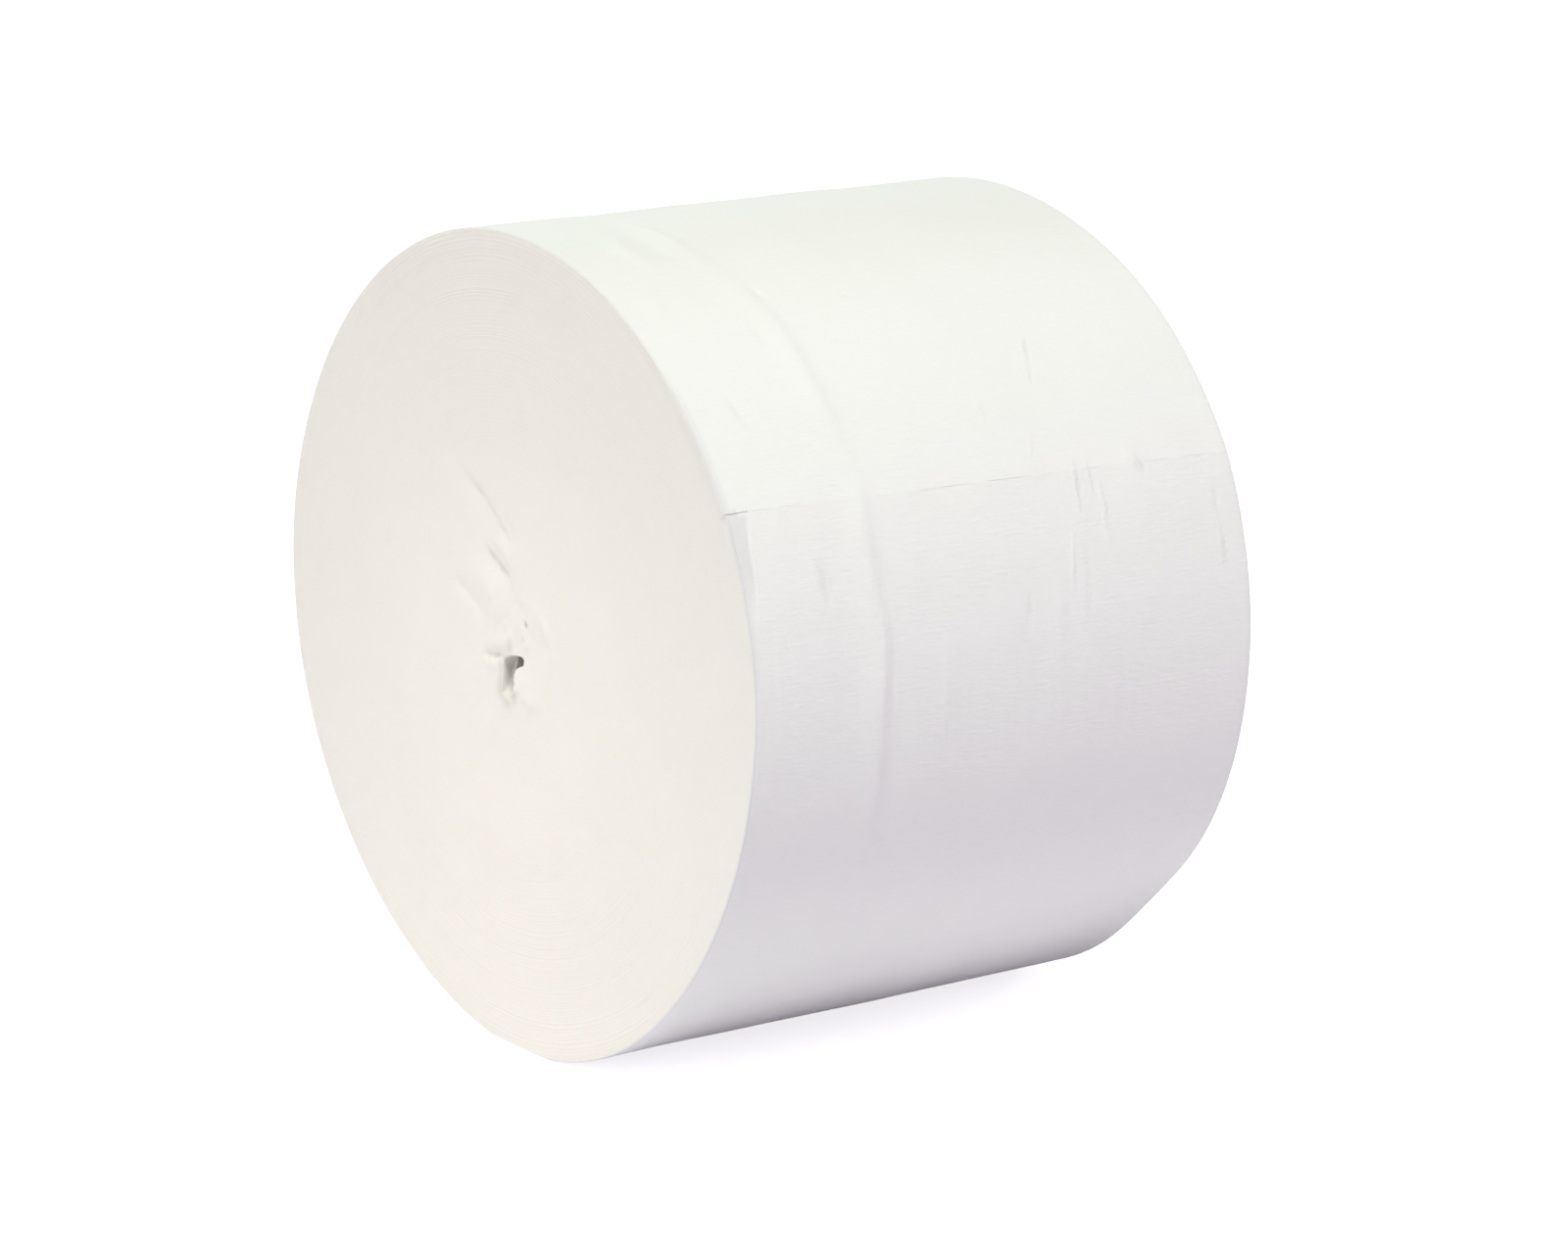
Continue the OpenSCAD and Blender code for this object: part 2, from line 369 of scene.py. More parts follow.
def side_radius(turned, y):
    """Radius of the side: turned is the angle from the tail's edge, 0 to 360, and y from the near end."""
    degrees = turned + TAIL_ANGLE
    around = (degrees + 180) % 360 - 180
    share = y / ROLL_W
    step = np.interp(y, *zip(*TAIL_STEP)) * np.clip(0.8 + 0.9 * field(y / 4.5, y * 0, 16), 0.2, 1.3)
    radius = section(np.radians(degrees), share) + step * (1 - turned / 360)

    window = np.interp(around, *zip(*RIDGE_STRENGTH))
    crest = RIDGE_AT - RIDGE_LEAN * smooth((around - RIDGE_LEAN_FROM) / RIDGE_LEAN_ARC)
    crest = crest - RIDGE_SHIFT * smooth((RIDGE_SHIFT_FROM - around) / RIDGE_SHIFT_ARC)
    crest = crest + 0.4 * field(around / 9, y * 0, 3)
    gap = y - crest
    ridge = bump(gap, np.where(gap < 0, RIDGE_NEAR_W, RIDGE_FAR_W))
    radius += RIDGE_H * window * ridge * (1 + 0.45 * field(around / 14, y * 0, 4))

    for points, height, left, right in SIDE_FOLDS:
        arc = np.radians(1.0) * ROLL_R
        path = [(angle * arc, along) for angle, along in points]
        radius += fold(around * arc, y, path, height, left, right)

    under_tail = smooth((turned - 300) / 52)
    wrinkles = field(turned / 11.25, y / 1.7, 11, cells_a=32)
    radius += WRINKLE_H * wrinkles * (0.25 + 0.75 * under_tail)
    radius += BROAD_WAVE_H * field(turned / 22.5, y / 13, 12, cells_a=16)
    behind = smooth((turned - 100) / 30) * smooth((260 - turned) / 40)
    radius += BACK_WAVE_H * behind * field(turned / 18, y / 3.4, 17, cells_a=20)

    edge = bump(turned, 3.0) + bump(turned - 360, 2.0)
    radius += EDGE_WAVE_H * edge * field(turned * 0, y / 6, 13)

    before = 360 - turned
    radius += TAIL_SLACK * np.clip(1 - np.minimum(turned, before) / TAIL_SLACK_ARC, 0, 1) ** 2
    bare = smooth((NOTCH_ARC - before) / 4)
    border = notch_border(before)
    sunk = np.clip(y / border, 0, 1) * smooth((border - y) / 0.35 + 0.5)
    radius -= NOTCH_DEPTH * bare * (0.1 + 0.9 * sunk) * (y < border + 0.4)
    radius -= SEAM_DEPTH * bump(before, 0.5) * smooth((NOTCH_W - 1.6 - y) / 0.8)

    from_far = ROLL_W - y
    radius -= DENT_DEPTH * bump(around - DENT_ANGLE, DENT_ARC) * smooth(1 - from_far / DENT_REACH)
    return radius


def tail_skew(turned):
    """How far the rim is skewed past the near end: only by the tail, which ends at its edge."""
    return TAIL_SKEW * smooth(1 - turned / TAIL_SKEW_ARC) * (turned < 180)


def near_height(x, z):
    """How far the near end stands out at a point, x and z from the roll's axis."""
    height = np.zeros_like(x)
    for points, tall, left, right in NEAR_FOLDS:
        height += fold(x, z, points, tall, left, right)
    from_hole = np.hypot(x, z + 3)
    crumple = bump(from_hole, 13)
    height += 0.09 * crumple * field(x / 1.6 + 20, z / 1.6 + 20, 21)
    height += 0.14 * crumple * field(x / 4 + 20, z / 4 + 20, 22)
    height -= NEAR_DOT_DEPTH * bump(np.hypot(x - NEAR_DOT[0], z - NEAR_DOT[1]), NEAR_DOT_W)
    height += 0.14 * field(x / 17 + 20, z / 17 + 20, 23)
    height += NEAR_BULGE * bump(from_hole, 16)
    return height


def near_painted_shade(x, z):
    """Painted shade: how much the colour darkens in the folds' lines, at the pit and round the hole's
    edge.
    """
    painted_shade = NEAR_DOT_SHADE * bump(np.hypot(x - NEAR_DOT[0], z - NEAR_DOT[1]), NEAR_DOT_W)
    for (at_x, at_z), width, dark in NEAR_SHADES:
        painted_shade = painted_shade + dark * bump(np.hypot(x - at_x, z - at_z), width)
    for (points, tall, left, right), dark in zip(NEAR_FOLDS, NEAR_LINE_SHADES):
        if dark:
            painted_shade = painted_shade + dark * fold_parts(x, z, points, tall, left, right)[1]
    return painted_shade


def far_height(x, z):
    """How far the far end stands out at a point, x and z from the roll's axis."""
    height = np.zeros_like(x)
    for points, tall, left, right in FAR_FOLDS:
        height += fold(x, z, points, tall, left, right)
    from_hole = np.hypot(x, z + 3)
    height += 0.16 * bump(from_hole, 12) * field(x / 1.8 + 20, z / 1.8 + 20, 31)
    height += 0.14 * field(x / 17 + 20, z / 17 + 20, 33)
    height += FAR_BULGE * bump(from_hole, 16)
    return height


def reach(outline, directions):
    """Distance from the grid's centre to an outline, along each direction."""
    start = np.array(outline, float) - GRID_CENTRE
    step = np.roll(start, -1, 0) - start
    ray_x, ray_z = directions[:, None, 0], directions[:, None, 1]
    start_x, start_z = start[None, :, 0], start[None, :, 1]
    step_x, step_z = step[None, :, 0], step[None, :, 1]
    cross = ray_x * step_z - ray_z * step_x
    along = (start_x * step_z - start_z * step_x) / cross
    share = (start_x * ray_z - start_z * ray_x) / cross
    hit = (share >= 0) & (share <= 1) & (along > 0)
    return np.where(hit, along, 0).max(1)


def slit_outline():
    """Outline deep in the hole: the round channel with the slit above it."""
    half = SLIT_W / 2
    open_angle = math.asin(half / PIN_R)
    turn = np.linspace(math.pi / 2 + open_angle, 2.5 * math.pi - open_angle, 40)
    channel = [(PIN_R * math.cos(a), PIN_R * math.sin(a) - PIN_DROP) for a in turn]
    middle = (SLIT_FOOT + SLIT_TOP) / 2
    wings = [
        (half, SLIT_FOOT), (WING_RIGHT, middle), (half, SLIT_TOP),
        (-half, SLIT_TOP), (-WING_LEFT, middle), (-half, SLIT_FOOT),
    ]
    return channel + wings


def spaced(stops):
    """Values in steps: each stop is where it ends and how many steps lead there."""
    values = [stops[0][0]]
    for (start, _), (end, count) in zip(stops, stops[1:]):
        values += list(np.linspace(start, end, count + 1)[1:])
    return np.array(values)


def side_ring(y, inset=0.0):
    """Points of one ring round the side, y from the near end."""
    share = y / ROLL_W
    turned = np.linspace(0, 360, COLUMNS + 1)
    edge = TAIL_NEAR * (1 - share) + TAIL_FAR * share
    ragged = TAIL_RAGGED * float(field(np.array([y / 1.1]), np.array([0.5]), 15)[0])
    shift = (edge - TAIL_ANGLE + ragged) * smooth(1 - np.minimum(turned, 360 - turned) / TAIL_SHIFT_REACH)
    radius = side_radius(turned, np.full_like(turned, y)) - inset
    theta = np.radians(turned + TAIL_ANGLE + shift)
    return radius * np.cos(theta), radius * np.sin(theta)


def build_rings():
    """Rings of points from the middle of the hole, over the near end, the side and the far end, and
    back to the middle of the hole. Each is (points, part)."""
    rings = []
    skew = tail_skew(np.linspace(0, 360, COLUMNS + 1))

    def add(x, z, y, part, coarse=False):
        points = np.stack([x, np.broadcast_to(y, x.shape) - ROLL_W / 2, z + AXIS_H], 1)
        points[:, 2] = np.maximum(points[:, 2], 0)
        rings.append((points[::2] if coarse else points, part))

    def end(near):
        rim_r = NEAR_RIM_R if near else FAR_RIM_R
        face_y = 0.0 if near else ROLL_W
        inward = 1 if near else -1
        bend = np.radians(np.linspace(0, 90, 7))
        rim_x, rim_z = side_ring(face_y + inward * rim_r, rim_r)
        rays = np.stack([rim_x, rim_z], 1) - GRID_CENTRE
        length = np.linalg.norm(rays, axis=1)
        rays /= length[:, None]
        deep = reach(slit_outline(), rays)
        mouth, throat = (reach(MOUTH, rays), reach(THROAT, rays)) if near else (deep, deep)
        made = []

        def place(distance, y, part, coarse):
            x, z = (GRID_CENTRE + rays * distance[:, None]).T
            made.append((x, z, y, part, coarse))

        def face(distance):
            x, z = (GRID_CENTRE + rays * distance[:, None]).T
            height = near_height(x, z) if near else far_height(x, z)
            height *= smooth((length - distance) / 6)
            if near:
                height += skew * smooth(1 - (length - distance) / LIP_W)
            return face_y - inward * height

        lip = HOLE_LIP_R
        lip_y = face(mouth + lip)
        for depth in spaced([(40, 0), (20, 2), (THROAT_END, 3), (THROAT_DEPTH, 4), (0.9, 5)]):
            narrow = smooth((depth - lip) / (THROAT_DEPTH - lip))
            widen = smooth((depth - THROAT_DEPTH) / (THROAT_END - THROAT_DEPTH))
            distance = mouth * (1 - narrow) + throat * (narrow - widen) + deep * widen
            place(distance, lip_y + inward * depth, "hole", True)
        for turn in np.radians([0, 30, 60]):
            place(mouth + lip * (1 - np.cos(turn)), lip_y + inward * lip * (1 - np.sin(turn)), "end", True)
        for share in np.linspace(0, 1, 42 if near else 30):
            distance = mouth + lip + (FINE_REACH - lip) * share
            place(distance, face(distance), "end", True)
        inner = mouth + FINE_REACH
        for share in spaced([(0, 0), (0.34, 32 if near else 10), (0.94, 11), (1, 8 if near else 2)])[1:]:
            distance = inner + (length - inner) * share
            place(distance, face(distance), "end", not near and share < 0.5)
        for angle in bend[1:]:
            inset = rim_r * (1 - math.sin(angle))
            x, z = side_ring(face_y + inward * inset, inset)
            y = face_y + inward * rim_r * (1 - math.cos(angle)) - (skew if near else 0)
            made.append((x, z, y, "near_rim" if near else "rim", False))
        return made

    for x, z, y, part, coarse in end(near=True):
        add(x, z, y, part, coarse)
    stops = [(NEAR_RIM_R, 0), (5, 20), (18, 11), (28, 22), (50, 17), (72, 27), (ROLL_W - FAR_RIM_R, 16)]
    stations = spaced(stops)
    for y in stations[1:-1]:
        x, z = side_ring(y)
        add(x, z, y - skew * max(0, 1 - y / TAIL_SKEW_REACH), "side")
    for x, z, y, part, coarse in reversed(end(near=False)):
        add(x, z, y, part, coarse)
    return rings


def stitch(rings):
    """Vertices and faces of the closed surface through the rings, and each face's part."""
    starts = np.cumsum([0] + [len(points) for points, _ in rings])
    faces, parts = [], []
    for k in range(len(rings)):
        after = (k + 1) % len(rings)
        a, b = starts[k], starts[after]
        n, m = len(rings[k][0]), len(rings[after][0])
        part = rings[k][1]
        if n == m:
            made = [(a + i, a + (i + 1) % n, b + (i + 1) % n, b + i) for i in range(n)]
        else:
            fine, coarse, flip = (a, b, True) if n > m else (b, a, False)
            made = []
            for i in range(min(n, m) - 1):
                left, right, middle = coarse + i, coarse + i + 1, fine + 2 * i + 1
                trio = [(left, middle, middle - 1), (left, right, middle), (right, middle + 1, middle)]
                made += [t[::-1] for t in trio] if flip else trio
            last = min(n, m) - 1
            quad = (coarse + last, coarse, fine, fine + 2 * last)
            made.append(quad[::-1] if flip else quad)
        faces += made
        parts += [part] * len(made)
    return np.vstack([points for points, _ in rings]), faces, parts


# How plainly the edges of the collapsed inner turns show
INNER_LINES = 0.3


def turn_number(points):
    """How far out in the winding each point lies: the turns pass round the collapsed middle."""
    x, z = points[:, 0], points[:, 2] - AXIS_H
    spine = curve([(-9, 19), (-4, 10), (0, 1), (2, -6), (6, -9)])
    gap = np.linalg.norm(np.stack([x, z], 1)[:, None] - spine[None, ::3], axis=2).min(1)
    radius = np.hypot(x, z)
    outer = smooth((radius - 6) / 34)
    return gap * 0.55 * (1 - outer) + radius * outer


def wound_share(points):
    """How plainly the edges of the turns show: less where the inner turns have collapsed."""
    radius = np.hypot(points[:, 0], points[:, 2] - AXIS_H)
    return INNER_LINES + (1 - INNER_LINES) * smooth((radius - 24) / 18)


def painted_shade_share(points, part):
    """How much painted shade darkens the tissue's colour at each point."""
    x, z = points[:, 0], points[:, 2] - AXIS_H
    near = (part == "end") & (points[:, 1] < 0)
    painted_shade = np.zeros(len(points))
    painted_shade[near] = near_painted_shade(x[near], z[near])
    # Painted shade on the hole's walls, growing darker inward from the lip.
    inner = (part == "hole") & (points[:, 1] < 0)
    depth = points[inner, 1] + ROLL_W / 2 + HOLE_LIP_AT
    above_foot = smooth((z[inner] - HOLE_FOOT[0]) / HOLE_FOOT[1])
    rightward = smooth((x[inner] - HOLE_RIGHT[0]) / HOLE_RIGHT[1])
    upward = smooth((z[inner] - HOLE_TOP[0]) / HOLE_TOP[1])
    level = HOLE_FOOT_SHADE + (HOLE_SHADE - HOLE_FOOT_SHADE) * above_foot
    level = level * (1 - HOLE_RIGHT[2] * rightward) * (1 - HOLE_TOP[2] * upward)
    painted_shade[inner] = np.maximum(near_painted_shade(x[inner], z[inner]), level * smooth(depth / HOLE_SHADE_DEPTH))
    # Painted shadow in the bare strip under the tail's edge, painted shade along the near rim beside it,
    # and painted shade on the rim's rounding where it would catch light.
    side = np.isin(part, ("side", "near_rim")) & (points[:, 1] < 0)
    before = (TAIL_NEAR - np.degrees(np.arctan2(z[side], x[side]))) % 360
    y = points[side, 1] + ROLL_W / 2
    bare = smooth((NOTCH_SHADE_ARC - before) / 9) * smooth((notch_border(before) - y) / 0.6 + 0.5)
    along_rim = smooth((RIM_SHADE_BELOW - before) / 8) + smooth((before - (360 - RIM_SHADE_ABOVE)) / 8)
    at_rim = RIM_SHADE * along_rim * smooth((RIM_SHADE_W - y) / 0.6 + 0.5)
    painted_shade[side] = NOTCH_SHADE * bare + at_rim * (1 - bare)
    painted_shade[part == "near_rim"] += NEAR_RIM_SHADE
    return painted_shade


def socket(node, name, value):
    node.inputs[name].default_value = value


class Shader:
    """A material under construction."""

    def __init__(self, name):
        self.material = bpy.data.materials.new(name)
        self.material.use_nodes = True
        self.tree = self.material.node_tree
        self.tree.nodes.clear()
        self.out = self.node("ShaderNodeOutputMaterial")

    def node(self, kind, **settings):
        made = self.tree.nodes.new(kind)
        for key, value in settings.items():
            setattr(made, key, value)
        return made

    def link(self, source, target):
        self.tree.links.new(source, target)

    def math(self, operation, *values):
        made = self.node("ShaderNodeMath", operation=operation)
        for slot, value in enumerate(values):
            if isinstance(value, (int, float)):
                made.inputs[slot].default_value = value
            else:
                self.link(value, made.inputs[slot])
        return made.outputs[0]

    def noise(self, vector, scale, detail, roughness=0.5):
        made = self.node("ShaderNodeTexNoise")
        socket(made, "Scale", scale)
        socket(made, "Detail", detail)
        socket(made, "Roughness", roughness)
        self.link(vector, made.inputs["Vector"])
        return made.outputs["Fac"]

    def stretched(self, factors):
        """Object coordinates in millimetres, stretched along the axes."""
        coordinates = self.node("ShaderNodeTexCoord").outputs["Object"]
        made = self.node("ShaderNodeMapping")
        socket(made, "Scale", tuple(f / MM for f in factors))
        self.link(coordinates, made.inputs["Vector"])
        return made.outputs["Vector"]

    def tint(self, factor, low, high):
        """Colour between two, by a factor from 0 to 1."""
        made = self.node("ShaderNodeMix", data_type="RGBA")
        made.inputs["A"].default_value = (*low, 1)
        made.inputs["B"].default_value = (*high, 1)
        self.link(factor, made.inputs["Factor"])
        return made.outputs["Result"]

    def shaded(self, colour, shade, more=0.0):
        """A colour that turns to a painted shade where the mesh's painted-shade attribute, and any more
        given, marks it.
        """
        made = self.node("ShaderNodeMix", data_type="RGBA")
        painted_shade = self.node("ShaderNodeAttribute", attribute_name="painted_shade").outputs["Fac"]
        self.link(self.math("ADD", painted_shade, more), made.inputs["Factor"])
        self.link(colour, made.inputs["A"])
        made.inputs["B"].default_value = (*shade, 1)
        return made.outputs["Result"]

    def marks(self):
        """Height in millimetres and shade of the small marks on the side."""
        place = self.node("ShaderNodeSeparateXYZ")
        self.link(self.stretched((1.0, 1.0, 1.0)), place.inputs[0])
        upward = self.math("SUBTRACT", place.outputs["Z"], AXIS_H)
        chart = self.node("ShaderNodeCombineXYZ")
        angle = self.math("ARCTAN2", upward, place.outputs["X"])
        self.link(self.math("MULTIPLY", angle, ROLL_R), chart.inputs["X"])
        self.link(self.math("ADD", place.outputs["Y"], ROLL_W / 2), chart.inputs["Y"])
        sway = self.node("ShaderNodeTexNoise")
        socket(sway, "Scale", 0.7)
        self.link(chart.outputs[0], sway.inputs["Vector"])
        swayed = self.node("ShaderNodeVectorMath", operation="ADD")
        self.link(chart.outputs[0], swayed.inputs[0])
        self.link(sway.outputs["Color"], swayed.inputs[1])
        arc = math.radians(1) * ROLL_R
        height, shade = 0.0, 0.0
        for start, end, half_width, tall, dark in SIDE_MARKS:
            a, b = Vector((start[0] * arc, start[1])), Vector((end[0] * arc, end[1]))
            middle, along = (a + b) / 2, b - a
            # The noise that sways the marks averages a half, so each mark's place moves by as much.
            mark_frame = self.node("ShaderNodeMapping", vector_type="TEXTURE")
            socket(mark_frame, "Location", (middle.x + 0.5, middle.y + 0.5, 0.5))
            socket(mark_frame, "Rotation", (0, 0, math.atan2(along.y, along.x)))
            socket(mark_frame, "Scale", (along.length / 2, half_width, 1e3))
            self.link(swayed.outputs[0], mark_frame.inputs["Vector"])
            gap = self.node("ShaderNodeVectorMath", operation="LENGTH")
            self.link(mark_frame.outputs[0], gap.inputs[0])
            close = self.node("ShaderNodeMapRange", interpolation_type="SMOOTHSTEP")
            socket(close, "From Min", 1.25)
            socket(close, "From Max", 0.0)
            self.link(gap.outputs["Value"], close.inputs["Value"])
            height = self.math("MULTIPLY_ADD", close.outputs[0], tall, height)
            # Painted shade in the marks' grooves.
            if dark:
                shade = self.math("MULTIPLY_ADD", close.outputs[0], dark, shade)
        return height, shade

    def bump(self, height, distance, strength=1.0, normal=None):
        made = self.node("ShaderNodeBump")
        socket(made, "Strength", strength)
        socket(made, "Distance", distance * MM)
        self.link(height, made.inputs["Height"])
        if normal is not None:
            self.link(normal, made.inputs["Normal"])
        return made.outputs["Normal"]

    def paper(self, colour, normal, sheen):
        made = self.node("ShaderNodeBsdfPrincipled")
        socket(made, "Roughness", 0.92)
        socket(made, "Specular IOR Level", 0.2)
        socket(made, "Sheen Weight", sheen)
        socket(made, "Sheen Roughness", 0.6)
        self.link(colour, made.inputs["Base Color"])
        self.link(normal, made.inputs["Normal"])
        self.link(made.outputs[0], self.out.inputs["Surface"])
        return self.material


# Colours of the tissue: its paler and deeper parts on the side and the ends, and the painted shade each
# turns to where the mesh's painted-shade attribute marks it
SIDE_PALE = (0.899, 0.896, 0.869)
SIDE_DEEP = (0.874, 0.870, 0.845)
END_PALE = (0.873, 0.838, 0.777)
END_DEEP = (0.838, 0.799, 0.736)
SIDE_PAINTED_SHADE = (0.55, 0.55, 0.545)
END_PAINTED_SHADE = (0.545, 0.515, 0.49)


def side_material():
    """Soft creped tissue: fine creases across the web, a faint felt of fibres and soft cloudiness."""
    shader = Shader("tissue_side")
    crepe = shader.noise(shader.stretched((1.9, 0.35, 1.9)), 1.0, 3.0, 0.6)
    felt = shader.noise(shader.stretched((5.0, 5.0, 5.0)), 1.0, 2.0, 0.6)
    cloud = shader.noise(shader.stretched((0.12, 0.12, 0.12)), 1.0, 3.0, 0.55)
    height, shade = shader.marks()
    normal = shader.bump(height, 1.0)
    normal = shader.bump(crepe, 0.16, 0.6, normal)
    normal = shader.bump(felt, 0.035, 0.5, normal)
    grain = shader.math("ADD", shader.math("MULTIPLY", crepe, 0.45), shader.math("MULTIPLY", cloud, 0.55))
    # The side's colour darkens to painted shade where the mesh's attribute and the marks' grooves call for
    # it.
    colour = shader.shaded(shader.tint(grain, SIDE_DEEP, SIDE_PALE), SIDE_PAINTED_SHADE, shade)
    return shader.paper(colour, normal, 0.12)


def end_material():
    """The cut edges of the turns: fine uneven lines that follow the winding, and a soft nap."""
    shader = Shader("tissue_end")
    turn = shader.node("ShaderNodeAttribute", attribute_name="turn").outputs["Fac"]
    sway = shader.noise(shader.stretched((0.05, 0.05, 0.05)), 1.0, 2.0)
    placed = shader.math("ADD", turn, shader.math("MULTIPLY", sway, 1.2))
    lines = shader.node("ShaderNodeTexNoise", noise_dimensions="1D")
    socket(lines, "Scale", 2.6)
    socket(lines, "Detail", 3.0)
    socket(lines, "Roughness", 0.65)
    shader.link(placed, lines.inputs["W"])
    wound = shader.node("ShaderNodeAttribute", attribute_name="wound").outputs["Fac"]
    level = shader.math("MULTIPLY_ADD", shader.math("SUBTRACT", lines.outputs["Fac"], 0.5), wound, 0.5)
    nap = shader.noise(shader.stretched((3.2, 3.2, 3.2)), 1.0, 3.0, 0.6)
    cloud = shader.noise(shader.stretched((0.10, 0.10, 0.10)), 1.0, 3.0, 0.55)
    normal = shader.bump(level, 0.20, 0.5)
    normal = shader.bump(nap, 0.06, 0.6, normal)
    grain = shader.math("ADD", shader.math("MULTIPLY", level, 0.5), shader.math("MULTIPLY", cloud, 0.5))
    # The end's colour darkens to painted shade in the folds' lines, at the pit, round the hole and on its
    # walls.
    colour = shader.shaded(shader.tint(grain, END_DEEP, END_PALE), END_PAINTED_SHADE)
    return shader.paper(colour, normal, 0.10)


def make_roll():
    rings = build_rings()
    points, faces, parts = stitch(rings)
    parts_of = np.concatenate([[part] * len(ring) for ring, part in rings])
    mesh = bpy.data.meshes.new("soft_roll")
    mesh.from_pydata((points * MM).tolist(), [], [tuple(int(i) for i in f) for f in faces])
    mesh.materials.append(side_material())
    mesh.materials.append(end_material())
    mesh.polygons.foreach_set("material_index", [0 if p in SIDE_PARTS else 1 for p in parts])
    mesh.polygons.foreach_set("use_smooth", [True] * len(faces))
    # The painted shade rides on the mesh as an attribute that darkens the materials' colour.
    values_of = {
        "turn": turn_number(points),
        "wound": wound_share(points),
        "painted_shade": painted_shade_share(points, parts_of),
    }
    for name, values in values_of.items():
        made = mesh.attributes.new(name, "FLOAT", "POINT")
        made.data.foreach_set("value", values.astype(np.float32))
    roll = bpy.data.objects.new("soft_roll", mesh)
    bpy.context.scene.collection.objects.link(roll)
    clean(mesh)
    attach(roll, "root")
    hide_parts(NODE)


def clean(mesh):
    """Merges the tail's doubled column where it has no step, and sharpens the steep edges."""
    made = bmesh.new()
    made.from_mesh(mesh)
    bmesh.ops.remove_doubles(made, verts=made.verts, dist=1e-7)
    bmesh.ops.dissolve_degenerate(made, edges=made.edges, dist=1e-8)
    bmesh.ops.recalc_face_normals(made, faces=made.faces)
    made.to_mesh(mesh)
    made.free()
    mesh.set_sharp_from_angle(angle=math.radians(50))


# The floor: half its width in metres, its colour, and the light that only the camera sees it give
FLOOR_HALF = 6.0
FLOOR_COLOUR = (0.86, 0.845, 0.91)
FLOOR_LIFT = 0.77

# The soft light from all round
AMBIENT = 0.28
AMBIENT_COLOUR = (0.92, 0.90, 0.97)


def make_floor():
    """Pale floor, which the camera sees as white where no shadow falls on it."""
    size = FLOOR_HALF
    corners = [(-size, -size, 0), (size, -size, 0), (size, size, 0), (-size, size, 0)]
    mesh = bpy.data.meshes.new("floor")
    mesh.from_pydata(corners, [], [(0, 1, 2, 3)])
    floor = bpy.data.objects.new("floor", mesh)
    bpy.context.scene.collection.objects.link(floor)
    shader = Shader("floor")
    diffuse = shader.node("ShaderNodeBsdfDiffuse")
    socket(diffuse, "Color", (*FLOOR_COLOUR, 1))
    glow = shader.node("ShaderNodeEmission")
    seen = shader.node("ShaderNodeLightPath").outputs["Is Camera Ray"]
    shader.link(shader.math("MULTIPLY", seen, FLOOR_LIFT), glow.inputs["Strength"])
    both = shader.node("ShaderNodeAddShader")
    shader.link(diffuse.outputs[0], both.inputs[0])
    shader.link(glow.outputs[0], both.inputs[1])
    shader.link(both.outputs[0], shader.out.inputs["Surface"])
    mesh.materials.append(shader.material)


def make_world():
    world = bpy.data.worlds.new("studio")
    bpy.context.scene.world = world
    world.use_nodes = True
    nodes, links = world.node_tree.nodes, world.node_tree.links
    nodes.clear()
    ambient = nodes.new("ShaderNodeBackground")
    ambient.inputs["Color"].default_value = (*AMBIENT_COLOUR, 1)
    ambient.inputs["Strength"].default_value = AMBIENT
    white = nodes.new("ShaderNodeBackground")
    white.inputs["Strength"].default_value = 1.0
    seen = nodes.new("ShaderNodeLightPath")
    mixed = nodes.new("ShaderNodeMixShader")
    out = nodes.new("ShaderNodeOutputWorld")
    links.new(seen.outputs["Is Camera Ray"], mixed.inputs["Fac"])
    links.new(ambient.outputs[0], mixed.inputs[1])
    links.new(white.outputs[0], mixed.inputs[2])
    links.new(mixed.outputs[0], out.inputs["Surface"])


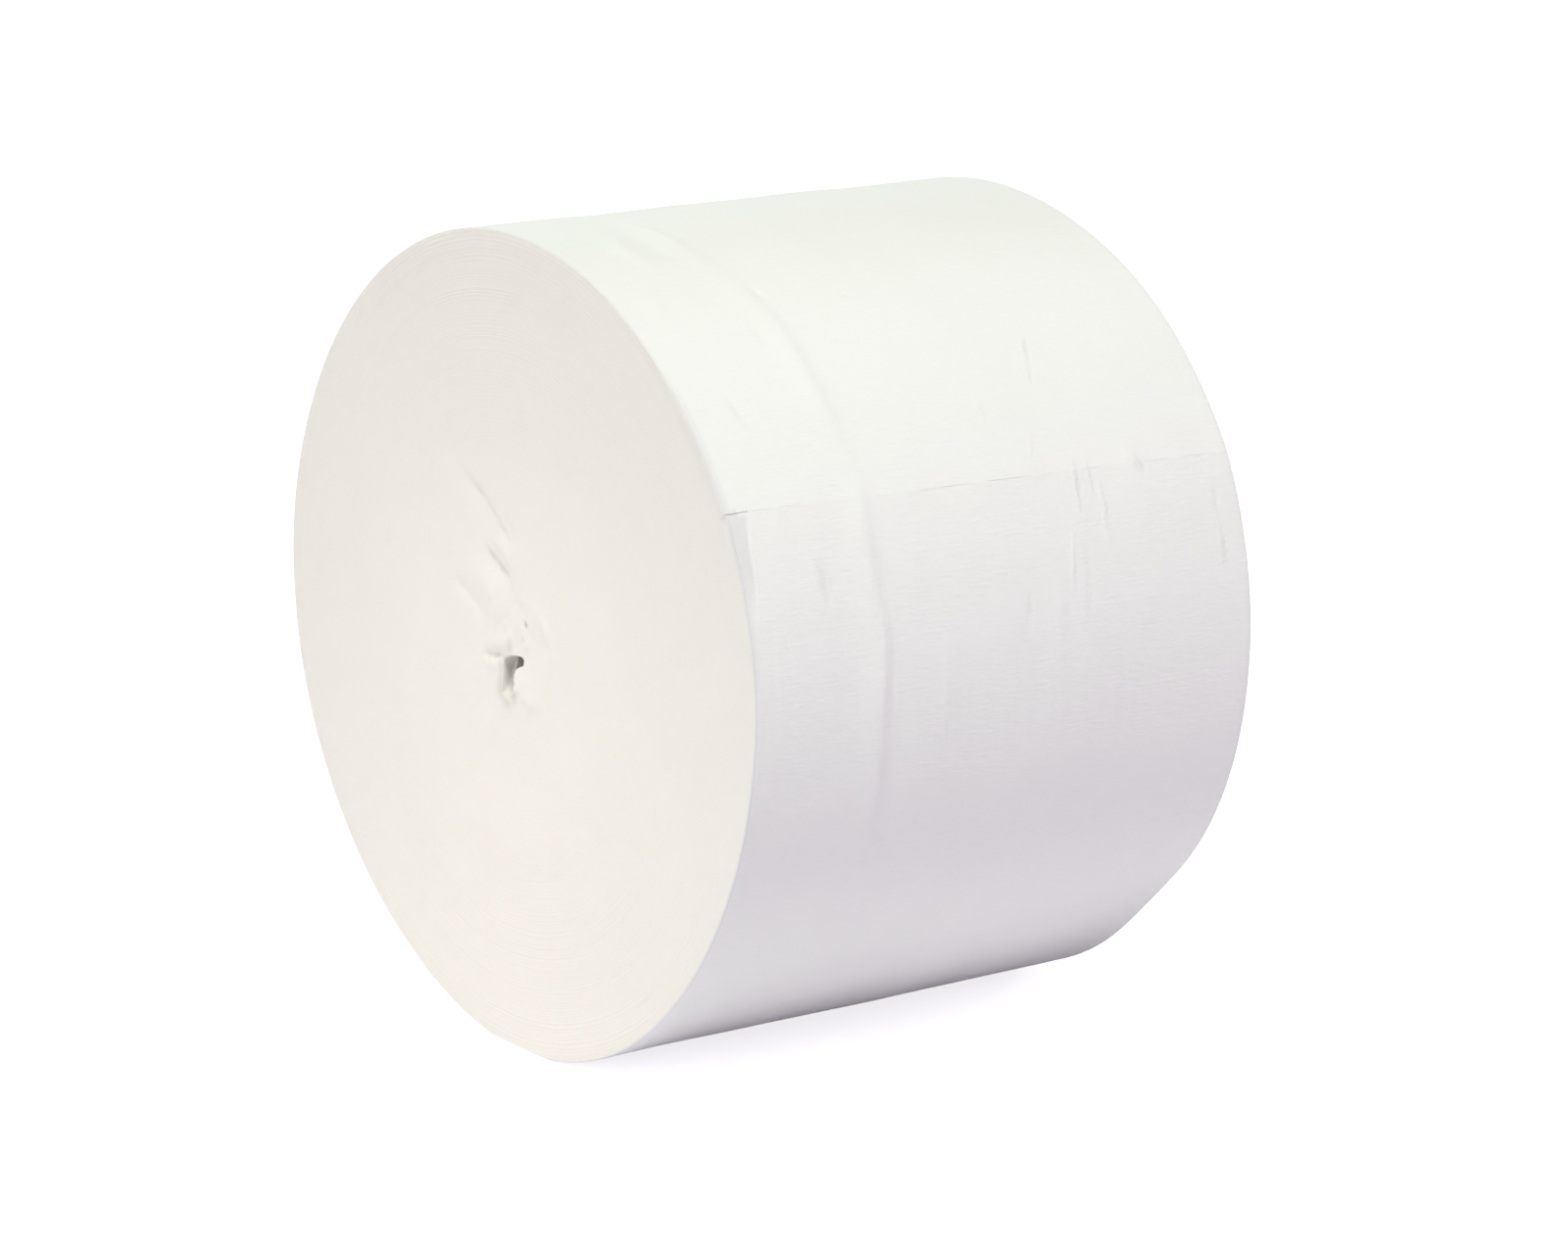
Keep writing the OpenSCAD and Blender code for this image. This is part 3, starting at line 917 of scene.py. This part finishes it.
# Each lamp: where it stands, what it points at, how wide it is, its power in watts and its colour
LAMPS = {
    "key": ((0.44, -0.30, 1.10), (0.0, 0.0, 0.066), 0.30, 9.8, (0.95, 1.0, 0.895)),
    "front_low": ((0.0, -0.25, 0.02), (0.0, -0.05, 0.03), 0.10, 0.17, (1.0, 0.96, 0.94)),
    "right_low": ((0.9, 0.3, 0.10), (0.0, 0.0, 0.066), 0.15, 0.70, (0.91, 0.55, 1.0)),
    "back": ((-0.35, 1.15, 0.14), (0.0, 0.0, 0.066), 0.26, 6.7, (1.0, 1.0, 1.0)),
    "left": ((-1.10, -0.10, 0.40), (0.0, 0.0, 0.066), 0.26, 4.0, (0.93, 0.95, 1.0)),
}


def make_lamps():
    for name, (place, target, width, power, colour) in LAMPS.items():
        data = bpy.data.lights.new(name, "AREA")
        data.shape = "DISK"
        data.size = width
        data.energy = power
        data.color = colour
        lamp = bpy.data.objects.new(name, data)
        bpy.context.scene.collection.objects.link(lamp)
        lamp.visible_camera = False
        lamp.location = place
        lamp.rotation_mode = "QUATERNION"
        lamp.rotation_quaternion = (Vector(target) - Vector(place)).to_track_quat("-Z", "Y")


# The camera, fitted to the outlines of both ends in the photograph: its place from the middle of
# the roll's axis in radii, its heading and its lens
CAMERA_PLACE = (9.30218, -6.61279, 2.54531)
CAMERA_AZIMUTH = 54.26
CAMERA_ELEVATION = 12.83
CAMERA_LENS = 109.08


def make_camera():
    data = bpy.data.cameras.new("camera")
    data.lens = CAMERA_LENS
    data.sensor_width = 36.0
    data.clip_start = 0.01
    data.clip_end = 50.0
    camera = bpy.data.objects.new("camera", data)
    bpy.context.scene.collection.objects.link(camera)
    a, e = math.radians(CAMERA_AZIMUTH), math.radians(CAMERA_ELEVATION)
    ahead = -Vector((math.sin(a) * math.cos(e), -math.cos(a) * math.cos(e), math.sin(e)))
    camera.location = Vector(CAMERA_PLACE) * ROLL_R * MM + Vector((0, 0, AXIS_H * MM))
    camera.rotation_mode = "QUATERNION"
    camera.rotation_quaternion = ahead.to_track_quat("-Z", "Y")
    bpy.context.scene.camera = camera


bpy.context.scene.view_settings.view_transform = "Standard"
make_camera()
make_world()
make_lamps()
make_floor()
make_roll()
